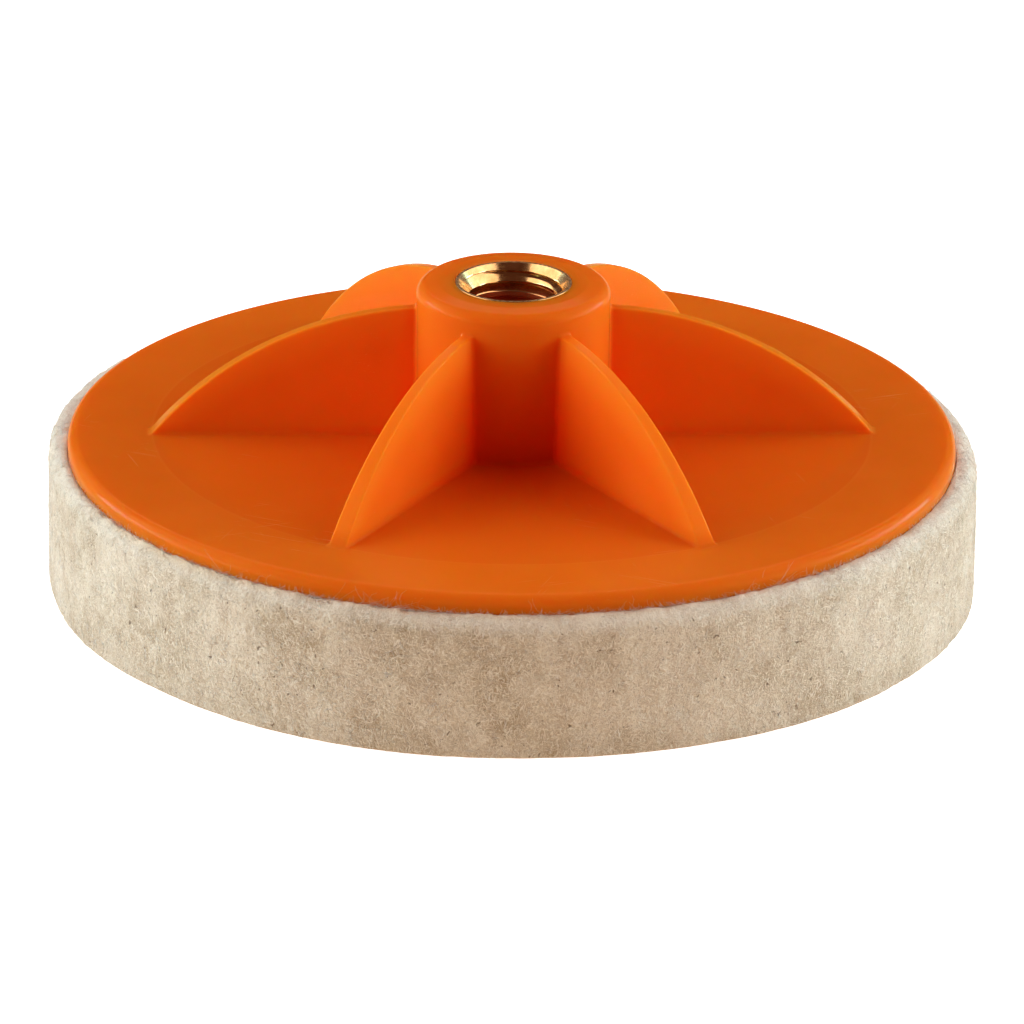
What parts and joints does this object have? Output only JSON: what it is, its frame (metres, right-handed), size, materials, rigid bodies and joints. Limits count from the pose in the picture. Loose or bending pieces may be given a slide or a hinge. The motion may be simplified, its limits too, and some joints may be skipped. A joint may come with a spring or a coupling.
{
  "type": "felt polishing wheel",
  "caption": "Round felt polishing wheel: a thick felt disc bonded to a ribbed plastic backing plate whose central hub holds a threaded brass insert.",
  "frame": {"origin": "centre of the felt's working face, which is the face that the wheel lies on", "axes": "+Z along the spin axis, out of the threaded hub towards the machine; +X along one of the six ribs"},
  "size_m": [0.13, 0.13, 0.0454],
  "materials": {
    "felt": "matte pressed wool with coarse mixed fibres",
    "adhesive": "cured contact adhesive film",
    "orange_plastic": "glossy injection-moulded plastic",
    "brass": "bright turned brass"
  },
  "bodies": {
    "root": {"felt_pad": "felt", "adhesive_layer": "adhesive", "backing_plate": "orange_plastic", "threaded_insert": "brass"}
  },
  "joints": []
}
